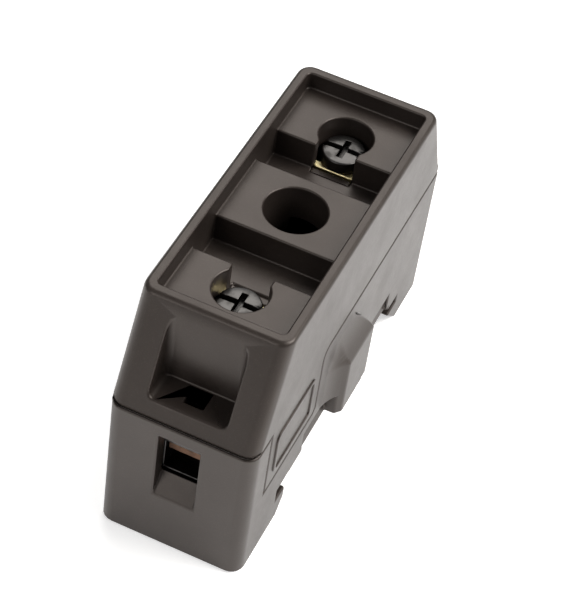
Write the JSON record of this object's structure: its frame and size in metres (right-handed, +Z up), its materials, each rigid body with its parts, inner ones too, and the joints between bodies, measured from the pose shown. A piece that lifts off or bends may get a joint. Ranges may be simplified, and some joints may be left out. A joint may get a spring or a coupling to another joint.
{
  "type": "cartridge fuse holder",
  "caption": "Rail-mounted single-pole fuse holder: a lift-out carrier with a bolted-tag cartridge link plugs into a base with rising wire clamps.",
  "frame": {"origin": "centre of the bounding box's underside, level with the undersides of the feet", "axes": "+Z up, the way the carrier lifts out; Y along the holder, with the sprung rail clip at +Y; +X to the side with the lug"},
  "size_m": [0.03, 0.0844, 0.051],
  "materials": {
    "black_thermoset": "satin brown-black thermoset moulding",
    "clip_nylon": "moulded black nylon",
    "brass": "bright machined brass",
    "tinned_copper": "tin-plated copper",
    "copper": null,
    "zinc_steel": "bright zinc-plated steel",
    "dark_steel": "dark passivated steel",
    "spring_steel": "polished spring steel",
    "ceramic": null,
    "silver": "fine silver strip"
  },
  "bodies": {
    "base": {"base_moulding": "black_thermoset", "clip_spring": "spring_steel", "base_contact_near": "copper", "jaw_spring_near": "spring_steel", "base_contact_far": "copper", "jaw_spring_far": "spring_steel"},
    "carrier": {"carrier_moulding": "black_thermoset", "fuse_barrel": "ceramic", "fuse_element": "silver", "fuse_cap_near": "tinned_copper", "fuse_tag_near": "tinned_copper", "carrier_contact_near": "brass", "fuse_cap_far": "tinned_copper", "fuse_tag_far": "tinned_copper", "carrier_contact_far": "brass"},
    "rail_clip": {"rail_clip": "clip_nylon"},
    "fuse_screw_near": {"fuse_screw_near": "dark_steel"},
    "fuse_nut_near": {"fuse_nut_near": "zinc_steel"},
    "clamp_screw_near": {"clamp_screw_near": "dark_steel"},
    "clamp_cage_near": {"clamp_cage_near": "dark_steel"},
    "fuse_screw_far": {"fuse_screw_far": "dark_steel"},
    "fuse_nut_far": {"fuse_nut_far": "zinc_steel"},
    "clamp_screw_far": {"clamp_screw_far": "dark_steel"},
    "clamp_cage_far": {"clamp_cage_far": "dark_steel"}
  },
  "joints": [
    {"name": "carrier_lift", "type": "slide", "parent": "base", "child": "carrier", "axis": [0, 0, 1], "range_m": [0, 0.026]},
    {"name": "clip_pull", "type": "slide", "parent": "base", "child": "rail_clip", "axis": [0, 1, 0], "range_m": [0, 0.004], "stiffness_N_per_m": 800, "springref_m": -0.002, "deforming": ["clip_spring"]},
    {"name": "fuse_screw_turn_near", "type": "hinge", "parent": "carrier", "child": "fuse_screw_near", "pos_m": [-0.0013, -0.02225, 0.0418], "axis": [0, 0, 1], "range_deg": [0, 1080]},
    {"name": "fuse_nut_drop_near", "type": "slide", "parent": "carrier", "child": "fuse_nut_near", "axis": [0, 0, -1], "range_m": [0, 0.0021]},
    {"name": "clamp_screw_turn_near", "type": "hinge", "parent": "base", "child": "clamp_screw_near", "pos_m": [-0.0013, -0.03535, 0.0284], "axis": [0, 0, -1], "range_deg": [0, 1620]},
    {"name": "clamp_cage_rise_near", "type": "slide", "parent": "base", "child": "clamp_cage_near", "axis": [0, 0, 1], "range_m": [0, 0.0036]},
    {"name": "fuse_screw_turn_far", "type": "hinge", "parent": "carrier", "child": "fuse_screw_far", "pos_m": [-0.0013, 0.02225, 0.0418], "axis": [0, 0, 1], "range_deg": [0, 1080]},
    {"name": "fuse_nut_drop_far", "type": "slide", "parent": "carrier", "child": "fuse_nut_far", "axis": [0, 0, -1], "range_m": [0, 0.0021]},
    {"name": "clamp_screw_turn_far", "type": "hinge", "parent": "base", "child": "clamp_screw_far", "pos_m": [-0.0013, 0.03535, 0.0284], "axis": [0, 0, -1], "range_deg": [0, 1620]},
    {"name": "clamp_cage_rise_far", "type": "slide", "parent": "base", "child": "clamp_cage_far", "axis": [0, 0, 1], "range_m": [0, 0.0036]}
  ],
  "couplings": [
    {"joint": "fuse_screw_turn_near", "follows": "fuse_nut_drop_near", "rad_per_m": 8975.9},
    {"joint": "clamp_screw_turn_near", "follows": "clamp_cage_rise_near", "rad_per_m": 7853.9},
    {"joint": "fuse_screw_turn_far", "follows": "fuse_nut_drop_far", "rad_per_m": 8975.9},
    {"joint": "clamp_screw_turn_far", "follows": "clamp_cage_rise_far", "rad_per_m": 7853.9}
  ]
}
